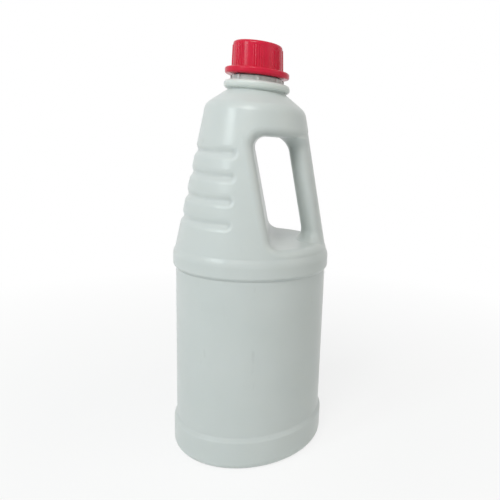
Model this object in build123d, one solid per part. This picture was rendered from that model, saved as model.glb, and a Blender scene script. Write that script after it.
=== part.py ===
# Handled bottle: a blown bottle with a hollow handle, finger grooves, a ratchet neck and a screw cap.
# Millimetres, +Z up. The origin is the centre of the standing ring and the handle points to +X.
import os
from math import acos, cos, degrees, radians, sin, sqrt, tan

from build123d import *

# Blown wall
wall = 1.2

# Base and foot band
foot_proud = 1.5
foot_height = 18.4
foot_bottom_round = 5.0
foot_top_round = 2.0
foot_step_height = 2.7
foot_step_round = 2.0
standing_ring_width = 4.0
base_recess_depth = 3.5
base_recess_slope_width = 4.0
base_recess_round = 2.0
standing_edge_round = 1.0

# Straight label panel
panel_radius = 44.9
panel_height = 94.7

# Rolled shoulder ring above the panel
ring_proud = 1.5
ring_height = 12.5
ring_under_height = 1.8
ring_under_round = 1.6
ring_over_height = 3.1
ring_over_round = 7.0
ring_crease_round = 0.8
ring_joint_round = 4.0

# Cone that carries the grooves and the handle
cone_base_step = 1.3
cone_angle = 11.1
cone_height = 83.6
shoulder_slope = 53.3
shoulder_round = 8.0

# Neck: throat, transfer bead, ratchet collar and threaded finish
throat_radius = 16.75
throat_height = 0.65
bead_radius = 18.85
bead_height = 4.7
bead_round = 2.0
collar_radius = 14.45
collar_height = 2.75
finish_radius = 11.9
finish_height = 16.0
lip_round = 0.5
bore_radius = 10.3

# Ratchet ribs around the collar
ratchet_count = 8
ratchet_width = 1.7
ratchet_proud = 0.8
ratchet_edge_round = 0.4
ratchet_first_angle = 2.0

# Handle: the hole pinched through the cone and the hollow oval bar that closes it
bar_thickness = 13.4
bar_half_depth = 12.0
bar_recess = 0.3
bar_flare_round = 9.0
bar_flare_sink = 0.4
hole_width = 20.8
hole_floor_height = 5.0
hole_height = 62.5
hole_corner_round = 7.0
hole_edge_round = 4.5

# Finger grooves across the front of the cone
groove_count = 4
groove_pitch = 12.9
groove_first_height = 18.1
groove_radius = 2.5
groove_depth = 1.2
groove_shoulder_round = 6.0
groove_end_land = 0.7
groove_end_share = 0.8

# Screw cap with its flange and grip ribs
cap_gap = 0.7
cap_bore_clearance = 1.0
cap_flange_radius = 18.35
cap_flange_height = 3.7
cap_flange_round = 1.2
cap_skirt_radius = 14.45
cap_top_radius = 13.85
cap_top_round = 1.8
cap_top_thickness = 1.6
grip_groups = 8
grip_ribs_per_group = 5
grip_rib_pitch = 5.2
grip_rib_radius = 0.5
grip_rib_sides = 8
grip_rib_proud = 0.3
grip_first_angle = 2.0
grip_top_margin = 2.6

# Sealing liner in the cap
liner_thickness = 1.5
liner_clearance = 0.3
seat_gap = 0.1

# Levels that follow from the sizes above
foot_radius = panel_radius + foot_proud
ring_radius = panel_radius + ring_proud
cone_base_radius = ring_radius - cone_base_step
panel_bottom = foot_height + foot_step_height
panel_top = panel_bottom + panel_height
cone_bottom = panel_top + ring_height
shoulder_level = cone_bottom + cone_height
cone_slope = tan(radians(cone_angle))
shoulder_slope_ratio = tan(radians(shoulder_slope))
shoulder_radius = cone_base_radius - cone_height * cone_slope
throat_level = shoulder_level + (shoulder_radius - throat_radius) / shoulder_slope_ratio
bead_bottom = throat_level + throat_height
bead_top = bead_bottom + bead_height
collar_top = bead_top + collar_height
lip_level = collar_top + finish_height
standing_ring_inner_radius = foot_radius - foot_bottom_round - standing_ring_width
base_recess_radius = standing_ring_inner_radius - base_recess_slope_width

cap_bottom = collar_top + cap_gap
liner_bottom = lip_level + seat_gap
liner_top = liner_bottom + liner_thickness
cap_ceiling = liner_top + seat_gap
cap_top = cap_ceiling + cap_top_thickness
cap_flange_top = cap_bottom + cap_flange_height
cap_bore_radius = finish_radius + cap_bore_clearance

hole_floor = cone_bottom + hole_floor_height
hole_ceiling = hole_floor + hole_height
bar_flare_angles = (0, 20, 40, 55, 70)
bar_root_depth = hole_edge_round + 2 * wall
groove_levels = [cone_bottom + groove_first_height + index * groove_pitch for index in range(groove_count)]


def cone_radius(height):
    return cone_base_radius - (height - cone_bottom) * cone_slope


def rounded_face(corners):
    """Face in the XZ plane through (x, z, rounding) corners; a rounding of 0 keeps a corner sharp."""
    points = [Vector(x, 0, z) for x, z, _ in corners]
    edges = []
    starts = []
    ends = []
    for index, (_, _, rounding) in enumerate(corners):
        corner = points[index]
        back = (points[index - 1] - corner).normalized()
        onward = (points[(index + 1) % len(points)] - corner).normalized()
        half_angle = radians(back.get_angle(onward)) / 2
        setback = rounding / tan(half_angle)
        starts.append(corner + back * setback)
        ends.append(corner + onward * setback)
        if rounding > 0:
            crown = corner + (back + onward).normalized() * (rounding / sin(half_angle) - rounding)
            edges.append(ThreePointArc(starts[-1], crown, ends[-1]))
    for index, start in enumerate(starts):
        edges.append(Line(ends[index - 1], start))
    return make_face(edges)


def turned(corners):
    """Solid of revolution about Z from (radius, height, rounding) corners."""
    return revolve(rounded_face(corners), Axis.Z)


def side_corners(inset):
    """Bottle profile from the centre of the base to the shoulder, set in by a wall thickness."""
    shoulder_drop = inset * (1 / cos(radians(shoulder_slope)) - 1 / cos(radians(cone_angle)))
    shoulder_drop /= shoulder_slope_ratio - cone_slope
    shoulder_inset = inset / cos(radians(cone_angle)) - shoulder_drop * cone_slope
    return [
        (0, base_recess_depth + inset, 0),
        (base_recess_radius, base_recess_depth + inset, base_recess_round),
        (standing_ring_inner_radius, inset, standing_edge_round),
        (foot_radius - inset, inset, foot_bottom_round - inset),
        (foot_radius - inset, foot_height, foot_top_round),
        (panel_radius - inset, panel_bottom, foot_step_round),
        (panel_radius - inset, panel_top, ring_crease_round),
        (ring_radius - inset, panel_top + ring_under_height, ring_under_round),
        (ring_radius - inset, cone_bottom - ring_over_height, ring_over_round),
        (cone_base_radius - inset, cone_bottom, ring_joint_round),
        (shoulder_radius - shoulder_inset, shoulder_level - shoulder_drop, shoulder_round - inset),
    ]


def outer_blank():
    neck = [
        (throat_radius, throat_level, 0),
        (throat_radius, bead_bottom, 0),
        (bead_radius, bead_bottom, bead_round),
        (bead_radius, bead_top, bead_round),
        (collar_radius, bead_top, 0),
        (collar_radius, collar_top, 0),
        (finish_radius, collar_top, 0),
        (finish_radius, lip_level, lip_round),
        (0, lip_level, 0),
    ]
    return turned(side_corners(0) + neck)


def inner_blank():
    side = side_corners(wall)
    shoulder_r, shoulder_z, _ = side[-1]
    bore_start = shoulder_z + (shoulder_r - bore_radius) / shoulder_slope_ratio
    past_lip = lip_level + wall
    bore = [(bore_radius, bore_start, 0), (bore_radius, past_lip, 0), (0, past_lip, 0)]
    return turned(side + bore)


def hole_notch(grow):
    """Notch through the cone from the hole's body side outwards; the bar closes it again."""
    low = hole_floor - grow
    high = hole_ceiling + grow
    inward = bar_recess + bar_thickness + hole_width + grow
    past_cone = cone_base_radius + inward
    outline = rounded_face(
        [
            (cone_radius(low) - inward, low, hole_corner_round + grow),
            (past_cone, low, 0),
            (past_cone, high, 0),
            (cone_radius(high) - inward, high, hole_corner_round + grow),
        ]
    )
    return extrude(outline, past_cone, both=True)


def bar_section(height, flare, inset):
    """Oval section of the bar; flare widens it where it runs into the body."""
    half_thickness = (bar_thickness + flare) / 2 - inset
    centre = cone_radius(height) - bar_recess - inset - half_thickness
    plane = Plane((centre, 0, height))
    return plane * Ellipse(half_thickness, bar_half_depth + flare - inset)


def bar_end(level, direction, inset):
    """One flared end: sections that widen towards the body, then a root buried in it."""
    flare_radius = bar_flare_round + inset
    lift = flare_radius * sin(radians(bar_flare_angles[-1])) - inset - bar_flare_sink
    sections = []
    for angle in bar_flare_angles:
        flare = flare_radius * (1 - cos(radians(angle)))
        rise = lift - flare_radius * sin(radians(angle))
        sections.append(bar_section(level + direction * rise, flare, inset))
    root = bar_section(level - direction * bar_root_depth, flare, inset)
    return sections, loft(sections) + loft([sections[-1], root], ruled=True)


def handle_bar(inset):
    low_sections, low_end = bar_end(hole_floor, 1, inset)
    high_sections, high_end = bar_end(hole_ceiling, -1, inset)
    return loft([low_sections[0], high_sections[0]], ruled=True) + low_end + high_end


def groove_half_span():
    """Angle from the front to a groove's end, so that the top groove stops short of the hole's rim."""
    roundings = groove_shoulder_round + groove_radius
    half_width = sqrt(roundings**2 - (roundings - groove_depth) ** 2)
    top_radius = cone_radius(groove_levels[-1])
    hole_side = top_radius - bar_recess - bar_thickness - hole_width
    end = hole_edge_round + groove_end_land + half_width - hole_side
    return degrees(acos(end / top_radius))


def finger_groove(level, grow):
    """Round-bottomed groove around the front of the cone, with round ends."""
    slope = radians(cone_angle)
    tube_radius = groove_radius + grow
    lift = groove_radius - groove_depth
    centre = (cone_radius(level) + lift * cos(slope), level + lift * sin(slope))
    half_span = groove_half_span()
    groove = revolve(Plane.XZ * Pos(*centre) * Circle(tube_radius), Axis.Z, 2 * half_span)
    end_rims = groove.faces().filter_by(GeomType.PLANE).edges()
    groove = fillet(end_rims, groove_end_share * tube_radius)
    return Rot(0, 0, 180 - half_span) * groove


def pressed(blank, tools, rounding):
    """Blank with tools pressed into it and the rims of the impressions rounded."""
    result = blank - tools
    return fillet(new_edges(blank, *tools, combined=result), rounding)


def blown_form(blank, inset):
    """Handle and finger grooves formed in a turned blank, for the outside or the inside of the wall."""
    form = pressed(blank, [hole_notch(inset)], hole_edge_round - inset)
    grooves = [finger_groove(level, inset) for level in groove_levels]
    form = pressed(form, grooves, groove_shoulder_round - inset)
    return form + handle_bar(inset)


def ratchet_ribs():
    """Upright ribs on the collar under the cap, with their tops flush with the collar."""
    length = collar_height
    rib = Box(2 * ratchet_proud, ratchet_width, length)
    rib = fillet(rib.edges().filter_by(Axis.Z).group_by(Axis.X)[-1], ratchet_edge_round)
    ring = PolarLocations(collar_radius, ratchet_count, ratchet_first_angle)
    return Pos(0, 0, bead_top + length / 2) * ring * rib


def bottle():
    shell = blown_form(outer_blank(), 0) - blown_form(inner_blank(), wall)
    return shell + ratchet_ribs()


def cap_skirt_radius_at(level):
    share = (level - cap_flange_top) / (cap_top - cap_flange_top)
    return cap_skirt_radius + (cap_top_radius - cap_skirt_radius) * share


def grip_rib():
    """One grip rib: a slim eight-sided rod that leans along the skirt, from inside the flange upwards."""
    sunk = grip_rib_radius - grip_rib_proud
    bottom = cap_flange_top - grip_rib_radius
    top = cap_top - grip_top_margin
    low = Vector(cap_skirt_radius_at(bottom) - sunk, 0, bottom)
    lean = Vector(cap_skirt_radius_at(top) - sunk, 0, top) - low
    section = RegularPolygon(grip_rib_radius, grip_rib_sides)
    return Plane(low, x_dir=(0, 1, 0), z_dir=lean) * extrude(section, lean.length)


def screw_cap():
    cap = turned(
        [
            (cap_bore_radius, cap_bottom, 0),
            (cap_flange_radius, cap_bottom, cap_flange_round),
            (cap_flange_radius, cap_flange_top, cap_flange_round),
            (cap_skirt_radius, cap_flange_top, 0),
            (cap_top_radius, cap_top, cap_top_round),
            (0, cap_top, 0),
            (0, cap_ceiling, 0),
            (cap_bore_radius, cap_ceiling, 0),
        ]
    )
    rib = grip_rib()
    ribs = []
    for group in range(grip_groups):
        middle = grip_first_angle + group * 360 / grip_groups
        for index in range(grip_ribs_per_group):
            angle = middle + (index - (grip_ribs_per_group - 1) / 2) * grip_rib_pitch
            ribs.append(Rot(0, 0, angle) * rib)
    return cap + ribs


def cap_liner():
    disc_radius = cap_bore_radius - liner_clearance
    return Pos(0, 0, (liner_bottom + liner_top) / 2) * Cylinder(disc_radius, liner_thickness)


os.makedirs("parts", exist_ok=True)
export_step(bottle(), "parts/bottle.step")
export_step(screw_cap(), "parts/screw_cap.step")
export_step(cap_liner(), "parts/cap_liner.step")
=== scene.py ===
from math import cos, pi, radians, sin

import bpy
from mathutils import Matrix, Vector


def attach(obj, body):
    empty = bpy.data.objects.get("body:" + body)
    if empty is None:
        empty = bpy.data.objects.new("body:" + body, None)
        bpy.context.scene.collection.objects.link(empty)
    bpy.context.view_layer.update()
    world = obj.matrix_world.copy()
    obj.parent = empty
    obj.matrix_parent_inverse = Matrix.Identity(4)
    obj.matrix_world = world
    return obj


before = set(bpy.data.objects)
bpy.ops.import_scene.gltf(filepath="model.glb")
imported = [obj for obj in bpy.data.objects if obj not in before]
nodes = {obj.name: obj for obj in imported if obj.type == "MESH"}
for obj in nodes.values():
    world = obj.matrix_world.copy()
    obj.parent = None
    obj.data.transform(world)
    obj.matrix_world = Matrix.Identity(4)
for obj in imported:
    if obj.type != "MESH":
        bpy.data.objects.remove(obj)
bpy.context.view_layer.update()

# Camera at the photograph's viewpoint
image_width_pixels = 500
focal_length_pixels = 494.5
principal_pixel_x = 400
sensor_width_mm = 36
camera_place = (0.00558, -0.31974, 0.19286)
camera_yaw = radians(15.808)
camera_pitch = radians(-11.164)
camera_roll = radians(4.640)
camera_clip_start = 0.01
camera_clip_end = 20

# Noise: each one below is its scale per metre and its detail, and most values lie between these two
noise_low = 0.3
noise_high = 0.7

# Bottle plastic
bottle_cloud_noise = (30, 3)
bottle_cloud_dark = (0.60, 0.645, 0.625)
bottle_cloud_light = (0.625, 0.665, 0.645)
bottle_scuff_noise = (260, 4)
bottle_scuff_squeeze = (1, 1, 0.25)
bottle_scuff_from = 0.68
bottle_scuff_full = 0.80
bottle_scuff_colour = (0.57, 0.61, 0.59)
bottle_scuff_roughness = 0.05
bottle_roughness_noise = (140, 3)
bottle_roughness_low = 0.285
bottle_roughness_high = 0.335
bottle_sag_noise = (45, 1)
bottle_sag_height = 0.0003
bottle_skin_noise = (1100, 1)
bottle_skin_height = 0.00001
bottle_sockets = {
    "IOR": 1.5,
    "Specular IOR Level": 0.4,
    "Subsurface Weight": 0.5,
    "Subsurface Radius": (1.0, 0.95, 0.85),
    "Subsurface Scale": 0.006,
}

# Cap plastic
cap_flow_noise = (220, 3)
cap_flow_dark = (0.58, 0.010, 0.040)
cap_flow_light = (0.63, 0.014, 0.048)
cap_roughness_noise = (500, 2)
cap_roughness_low = 0.17
cap_roughness_high = 0.24
cap_skin_noise = (900, 2)
cap_skin_height = 0.00002
cap_sockets = {
    "IOR": 1.49,
    "Specular IOR Level": 0.2,
    "Subsurface Weight": 0.12,
    "Subsurface Radius": (1.0, 0.2, 0.15),
    "Subsurface Scale": 0.004,
}

# Liner foam
liner_cells_per_metre = 2600
# The pit colour is painted shade: the hollow middle of each foam cell is drawn darker than its rim.
liner_pit_painted_shade = (0.80, 0.80, 0.77)
liner_rim_colour = (0.86, 0.86, 0.83)
liner_pit_depth = 0.00008
liner_roughness = 0.75

# Marks that the moulds leave
parting_line_half_width = 0.0003
parting_line_height = 0.00006
gate_mark_radius = 0.0016
gate_mark_edge = 0.0004
gate_mark_height = 0.00012
base_recess_level = 0.0035
pinch_seam_half_length = 0.030
pinch_seam_half_width = 0.0006
pinch_seam_height = 0.0007
pinch_seam_sink = 0.0003

# Screw thread between the neck finish and the cap
thread_lead = 0.0042
thread_steps_per_turn = 72
neck_finish_radius = 0.0119
neck_thread_height = 0.0007
neck_thread_start = 0.2323
neck_thread_turns = 2.2
cap_bore_radius = 0.0129
cap_thread_height = 0.0007
cap_thread_start = 0.2344
cap_thread_turns = 2.0
thread_root_width = 0.0018
thread_crest_width = 0.0008
thread_sink = 0.0002
thread_run_out_turns = 0.2

# Floor, which is part white to the camera near the bottle and wholly white further out
floor_size = 8.0
floor_drop = 0.0001
floor_white_near = 0.8
floor_white_from = 0.12
floor_white_to = 0.45
floor_sockets = {
    "Base Color": (0.86, 0.87, 0.87, 1),
    "Roughness": 0.9,
    "Specular IOR Level": 0.1,
}

# Light
world_ambient = 0.37
world_colour = (0.96, 1.0, 0.985, 1)
window_place = (-0.83, -0.56, 0.60)
window_size = 0.30
window_power = 2.7
window_colour = (0.90, 0.99, 1.0)
front_place = (-0.29, -0.72, 0.91)
front_size = 0.5
front_power = 5.2
front_colour = (1.0, 1.0, 0.98)
fill_place = (0.86, -0.40, 0.68)
fill_size = 0.7
fill_power = 1.4
fill_colour = (1.0, 0.93, 0.80)
light_target = (0, 0, 0.13)


def new_material(name):
    """Node material with a Principled shader, and the shader node itself."""
    made = bpy.data.materials.new(name)
    made.use_nodes = True
    return made, made.node_tree.nodes["Principled BSDF"]


def set_sockets(shader, values):
    for name, value in values.items():
        shader.inputs[name].default_value = value


def add_node(made, kind, **settings):
    node = made.node_tree.nodes.new(kind)
    for key, value in settings.items():
        setattr(node, key, value)
    return node


def link(made, source, target):
    made.node_tree.links.new(source, target)


def object_point(made):
    return add_node(made, "ShaderNodeTexCoord").outputs["Object"]


def scaled(made, point, factors):
    node = add_node(made, "ShaderNodeVectorMath", operation="MULTIPLY")
    link(made, point, node.inputs[0])
    node.inputs[1].default_value = factors
    return node.outputs[0]


def length(made, point):
    node = add_node(made, "ShaderNodeVectorMath", operation="LENGTH")
    link(made, point, node.inputs[0])
    return node.outputs["Value"]


def noise(made, point, scale, detail):
    node = add_node(made, "ShaderNodeTexNoise")
    set_sockets(node, {"Scale": scale, "Detail": detail})
    link(made, point, node.inputs["Vector"])
    return node.outputs["Fac"]


def remap(made, value, low, high, from_low=noise_low, from_high=noise_high):
    """Stretches the range from_low to from_high to low to high, and holds the value at both ends."""
    node = add_node(made, "ShaderNodeMapRange")
    set_sockets(node, {"From Min": from_low, "From Max": from_high, "To Min": low, "To Max": high})
    link(made, value, node.inputs["Value"])
    return node.outputs["Result"]


def mix_colour(made, share, first, second):
    """Mix of two colours, each of them a tuple or the output of a node."""
    node = add_node(made, "ShaderNodeMix", data_type="RGBA")
    for socket, value in (("A_Color", first), ("B_Color", second)):
        target = next(s for s in node.inputs if s.identifier == socket)
        if isinstance(value, tuple):
            target.default_value = (*value, 1)
        else:
            link(made, value, target)
    link(made, share, node.inputs["Factor"])
    return next(s for s in node.outputs if s.identifier == "Result_Color")


def bump(made, height, distance, below=None):
    """Relief with the given height in metres, on top of the relief below it."""
    node = add_node(made, "ShaderNodeBump")
    set_sockets(node, {"Distance": distance, "Strength": 1})
    link(made, height, node.inputs["Height"])
    if below is not None:
        link(made, below, node.inputs["Normal"])
    return node.outputs["Normal"]


def parting_line(made, point):
    """1 on the mould's parting plane, 0 from the line's half width on."""
    parts = add_node(made, "ShaderNodeSeparateXYZ")
    link(made, point, parts.inputs[0])
    beside = add_node(made, "ShaderNodeMath", operation="ABSOLUTE")
    link(made, parts.outputs["Y"], beside.inputs[0])
    return remap(made, beside.outputs[0], 1, 0, 0, parting_line_half_width)


def gate_mark(made, point):
    """1 on the cap's axis, 0 outside the round mark that the injection gate leaves."""
    from_axis = length(made, scaled(made, point, (1, 1, 0)))
    return remap(made, from_axis, 1, 0, gate_mark_radius - gate_mark_edge, gate_mark_radius)


def bottle_plastic():
    """Satin white blown polyethylene: faint cloudiness, scuffs, a soft orange-peel skin, the parting line."""
    made, shader = new_material("bottle_plastic")
    point = object_point(made)
    cloud = remap(made, noise(made, point, *bottle_cloud_noise), 0, 1)
    clean = mix_colour(made, cloud, bottle_cloud_dark, bottle_cloud_light)
    streaks = noise(made, scaled(made, point, bottle_scuff_squeeze), *bottle_scuff_noise)
    scuff = remap(made, streaks, 0, 1, bottle_scuff_from, bottle_scuff_full)
    colour = mix_colour(made, scuff, clean, bottle_scuff_colour)
    link(made, colour, shader.inputs["Base Color"])
    grain = noise(made, point, *bottle_roughness_noise)
    roughness = remap(made, grain, bottle_roughness_low, bottle_roughness_high)
    worn = add_node(made, "ShaderNodeMath", operation="MULTIPLY_ADD")
    link(made, scuff, worn.inputs[0])
    worn.inputs[1].default_value = bottle_scuff_roughness
    link(made, roughness, worn.inputs[2])
    link(made, worn.outputs[0], shader.inputs["Roughness"])
    sag = bump(made, noise(made, point, *bottle_sag_noise), bottle_sag_height)
    skin = bump(made, noise(made, point, *bottle_skin_noise), bottle_skin_height, below=sag)
    line = bump(made, parting_line(made, point), parting_line_height, below=skin)
    link(made, line, shader.inputs["Normal"])
    set_sockets(shader, bottle_sockets)
    return made


def cap_plastic():
    """Glossy red moulded polypropylene with slight flow marks and the gate mark in the middle of the top."""
    made, shader = new_material("cap_plastic")
    point = object_point(made)
    flow = remap(made, noise(made, point, *cap_flow_noise), 0, 1)
    link(made, mix_colour(made, flow, cap_flow_dark, cap_flow_light), shader.inputs["Base Color"])
    grain = noise(made, point, *cap_roughness_noise)
    link(made, remap(made, grain, cap_roughness_low, cap_roughness_high), shader.inputs["Roughness"])
    skin = bump(made, noise(made, point, *cap_skin_noise), cap_skin_height)
    gate = bump(made, gate_mark(made, point), gate_mark_height, below=skin)
    link(made, gate, shader.inputs["Normal"])
    set_sockets(shader, cap_sockets)
    return made


def liner_foam():
    """White closed-cell foam disc, with painted shade darkening the pit in the middle of each cell."""
    made, shader = new_material("liner_foam")
    cells = add_node(made, "ShaderNodeTexVoronoi")
    set_sockets(cells, {"Scale": liner_cells_per_metre})
    link(made, object_point(made), cells.inputs["Vector"])
    from_middle = cells.outputs["Distance"]
    # Painted shade: darker towards each cell's middle, where the bump sinks into a pit.
    shade = remap(made, from_middle, 0, 1, 0, 1)
    link(made, mix_colour(made, shade, liner_pit_painted_shade, liner_rim_colour), shader.inputs["Base Color"])
    link(made, bump(made, from_middle, liner_pit_depth), shader.inputs["Normal"])
    set_sockets(shader, {"Roughness": liner_roughness})
    return made


def dress(piece, made):
    piece.data.materials.clear()
    piece.data.materials.append(made)


def new_piece(name, verts, faces):
    mesh = bpy.data.meshes.new(name)
    mesh.from_pydata(verts, [], faces)
    made = bpy.data.objects.new(name, mesh)
    bpy.context.scene.collection.objects.link(made)
    return made


def thread_section(root, crest, level):
    """Corners of the ridge's section as radius and height, from the lower root to the upper root."""
    return (
        (root, level - thread_root_width / 2),
        (crest, level - thread_crest_width / 2),
        (crest, level + thread_crest_width / 2),
        (root, level + thread_root_width / 2),
    )


def helix_ridge(name, wall_radius, height, start, turns, inward):
    """Screw thread ridge on a round wall, run out into the wall at both ends."""
    steps = round(turns * thread_steps_per_turn)
    side = -1 if inward else 1
    root = wall_radius - side * thread_sink
    verts = []
    for step in range(steps + 1):
        turn = step / thread_steps_per_turn
        rise = min(1.0, turn / thread_run_out_turns, (turns - turn) / thread_run_out_turns)
        crest = wall_radius + side * (height * rise - thread_sink * (1 - rise))
        angle = 2 * pi * turn
        section = thread_section(root, crest, start + thread_lead * turn)
        for radius, z in section:
            verts.append((radius * cos(angle), radius * sin(angle), z))
    corners = len(section)
    faces = []
    for step in range(steps):
        for corner in range(corners):
            near = step * corners + corner
            beside = step * corners + (corner + 1) % corners
            quad = (near, beside, beside + corners, near + corners)
            faces.append(quad if inward else quad[::-1])
    last = steps * corners
    first_end = tuple(range(corners))
    last_end = tuple(range(last, last + corners))
    faces.append(first_end[::-1] if inward else first_end)
    faces.append(last_end if inward else last_end[::-1])
    ridge = new_piece(name, verts, faces)
    ridge.data.shade_smooth()
    return ridge


def add_threads(bottle_finish, cap_finish):
    neck = helix_ridge("neck_thread", neck_finish_radius, neck_thread_height,
                       neck_thread_start, neck_thread_turns, inward=False)
    dress(neck, bottle_finish)
    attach(neck, "bottle")
    cap = helix_ridge("cap_thread", cap_bore_radius, cap_thread_height,
                      cap_thread_start, cap_thread_turns, inward=True)
    dress(cap, cap_finish)
    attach(cap, "cap")


def rectangle(half_length, half_width, z):
    """Corners of a level rectangle about the Z axis, turning from +X to +Y."""
    return [(-half_length, -half_width, z), (half_length, -half_width, z),
            (half_length, half_width, z), (-half_length, half_width, z)]


def add_pinch_seam(bottle_finish):
    """Low ridge across the recess under the base, where the mould pinched off the blown tube."""
    root = rectangle(pinch_seam_half_length, pinch_seam_half_width, base_recess_level + pinch_seam_sink)
    crest = rectangle(pinch_seam_half_length - pinch_seam_half_width, pinch_seam_half_width / 2,
                      base_recess_level - pinch_seam_height)
    faces = [(0, 1, 2, 3), (7, 6, 5, 4), (4, 5, 1, 0), (5, 6, 2, 1), (6, 7, 3, 2), (7, 4, 0, 3)]
    seam = new_piece("base_pinch_seam", root + crest, faces)
    dress(seam, bottle_finish)
    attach(seam, "bottle")


def white_for_camera(tree, shade, white, share=None):
    """Mixes a white shader over another for what the camera sees directly, mirrored or through glass."""
    path = tree.nodes.new("ShaderNodeLightPath")
    seen = path.outputs["Is Camera Ray"]
    for name in ("Is Glossy Ray", "Is Transmission Ray"):
        either = tree.nodes.new("ShaderNodeMath")
        either.operation = "MAXIMUM"
        tree.links.new(seen, either.inputs[0])
        tree.links.new(path.outputs[name], either.inputs[1])
        seen = either.outputs[0]
    if share is not None:
        part = tree.nodes.new("ShaderNodeMath")
        part.operation = "MULTIPLY"
        tree.links.new(seen, part.inputs[0])
        tree.links.new(share, part.inputs[1])
        seen = part.outputs[0]
    set_sockets(white, {"Color": (1, 1, 1, 1), "Strength": 1})
    mix = tree.nodes.new("ShaderNodeMixShader")
    tree.links.new(seen, mix.inputs[0])
    tree.links.new(shade, mix.inputs[1])
    tree.links.new(white.outputs[0], mix.inputs[2])
    return mix.outputs[0]


def add_floor():
    """White floor just under the standing ring, so that the two don't share a plane."""
    bpy.ops.mesh.primitive_plane_add(size=floor_size, location=(0, 0, -floor_drop))
    floor = bpy.context.active_object
    floor.name = "floor"
    made, shader = new_material("floor_white")
    set_sockets(shader, floor_sockets)
    distance = length(made, object_point(made))
    share = remap(made, distance, floor_white_near, 1, floor_white_from, floor_white_to)
    white = add_node(made, "ShaderNodeEmission")
    mixed = white_for_camera(made.node_tree, shader.outputs[0], white, share)
    link(made, mixed, made.node_tree.nodes["Material Output"].inputs["Surface"])
    dress(floor, made)


def add_area_light(name, place, size, power, colour):
    data = bpy.data.lights.new(name, "AREA")
    data.shape = "DISK"
    data.size = size
    data.energy = power
    data.color = colour
    lamp = bpy.data.objects.new(name, data)
    lamp.location = place
    lamp.rotation_euler = (Vector(light_target) - Vector(place)).to_track_quat("-Z", "Y").to_euler()
    bpy.context.scene.collection.objects.link(lamp)


def add_light():
    world = bpy.data.worlds.new("studio")
    bpy.context.scene.world = world
    world.use_nodes = True
    tree = world.node_tree
    ambient = tree.nodes["Background"]
    set_sockets(ambient, {"Color": world_colour, "Strength": world_ambient})
    white = tree.nodes.new("ShaderNodeBackground")
    mixed = white_for_camera(tree, ambient.outputs[0], white)
    tree.links.new(mixed, tree.nodes["World Output"].inputs["Surface"])
    add_area_light("window", window_place, window_size, window_power, window_colour)
    add_area_light("front", front_place, front_size, front_power, front_colour)
    add_area_light("fill", fill_place, fill_size, fill_power, fill_colour)


def add_camera():
    data = bpy.data.cameras.new("camera")
    data.sensor_width = sensor_width_mm
    data.lens = sensor_width_mm * focal_length_pixels / image_width_pixels
    data.shift_x = 0.5 - principal_pixel_x / image_width_pixels
    data.clip_start = camera_clip_start
    data.clip_end = camera_clip_end
    camera = bpy.data.objects.new("camera", data)
    turn = Matrix.Rotation(-camera_yaw, 4, "Z")
    tilt = Matrix.Rotation(pi / 2 + camera_pitch, 4, "X")
    roll = Matrix.Rotation(camera_roll, 4, "Z")
    camera.matrix_world = Matrix.Translation(camera_place) @ turn @ tilt @ roll
    bpy.context.scene.collection.objects.link(camera)
    bpy.context.scene.camera = camera


bottle_finish = bottle_plastic()
cap_finish = cap_plastic()
dress(nodes["bottle"], bottle_finish)
dress(nodes["screw_cap"], cap_finish)
dress(nodes["cap_liner"], liner_foam())
add_threads(bottle_finish, cap_finish)
add_pinch_seam(bottle_finish)
add_floor()
add_light()
add_camera()
bpy.context.scene.view_settings.view_transform = "Standard"
